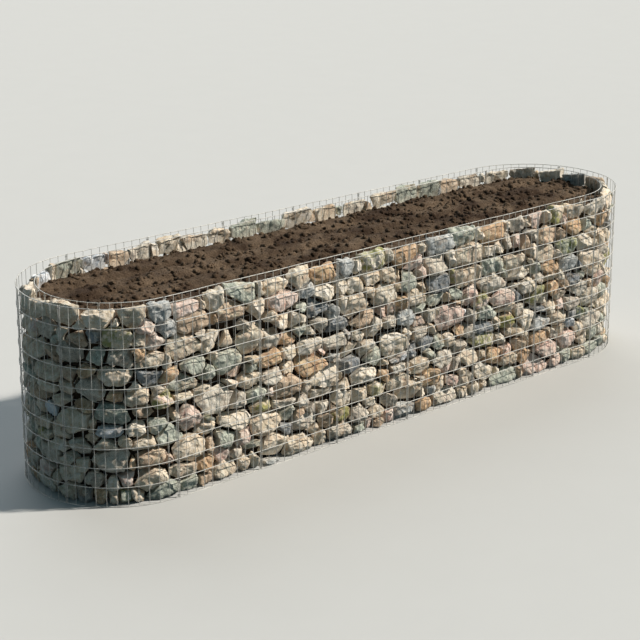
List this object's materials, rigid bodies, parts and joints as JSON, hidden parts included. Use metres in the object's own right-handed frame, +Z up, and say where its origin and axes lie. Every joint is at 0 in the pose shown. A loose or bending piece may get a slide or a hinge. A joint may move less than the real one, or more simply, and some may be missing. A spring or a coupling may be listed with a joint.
{
  "type": "gabion raised bed",
  "caption": "Long raised planting bed with rounded ends: rubble stones packed between an outer and an inner wire mesh, with planting soil inside.",
  "frame": {"origin": "on the ground, under the middle of the bed", "axes": "+X along the bed to its far end, +Y to its back, +Z up"},
  "size_m": [3.9964, 1, 1],
  "materials": {
    "galvanised_wire": "galvanised, dull",
    "rubble_stone": "rough broken stone",
    "planting_soil": "loose damp soil"
  },
  "bodies": {
    "root": {"back_binders": "galvanised_wire", "back_inner_mesh": "galvanised_wire", "back_mesh_panel_1": "galvanised_wire", "back_mesh_panel_2": "galvanised_wire", "back_mesh_panel_3": "galvanised_wire", "back_mesh_panel_4": "galvanised_wire", "back_mesh_panel_5": "galvanised_wire", "back_mesh_panel_6": "galvanised_wire", "back_stone_fill_1": "rubble_stone", "back_stone_fill_2": "rubble_stone", "back_stone_fill_3": "rubble_stone", "far_end_binders": "galvanised_wire", "far_end_inner_mesh_1": "galvanised_wire", "far_end_inner_mesh_2": "galvanised_wire", "far_end_inner_mesh_3": "galvanised_wire", "far_end_inner_mesh_4": "galvanised_wire", "far_end_mesh_panel_1": "galvanised_wire", "far_end_mesh_panel_2": "galvanised_wire", "far_end_mesh_panel_3": "galvanised_wire", "far_end_stone_fill_1": "rubble_stone", "far_end_stone_fill_2": "rubble_stone", "front_binders": "galvanised_wire", "front_inner_mesh": "galvanised_wire", "front_mesh_panel_1": "galvanised_wire", "front_mesh_panel_2": "galvanised_wire", "front_mesh_panel_3": "galvanised_wire", "front_mesh_panel_4": "galvanised_wire", "front_mesh_panel_5": "galvanised_wire", "front_mesh_panel_6": "galvanised_wire", "front_stone_fill_1": "rubble_stone", "front_stone_fill_2": "rubble_stone", "front_stone_fill_3": "rubble_stone", "near_end_binders": "galvanised_wire", "near_end_inner_mesh_1": "galvanised_wire", "near_end_inner_mesh_2": "galvanised_wire", "near_end_inner_mesh_3": "galvanised_wire", "near_end_inner_mesh_4": "galvanised_wire", "near_end_mesh_panel_1": "galvanised_wire", "near_end_mesh_panel_2": "galvanised_wire", "near_end_mesh_panel_3": "galvanised_wire", "near_end_stone_fill_1": "rubble_stone", "near_end_stone_fill_2": "rubble_stone", "planting_soil": "planting_soil"}
  },
  "joints": []
}
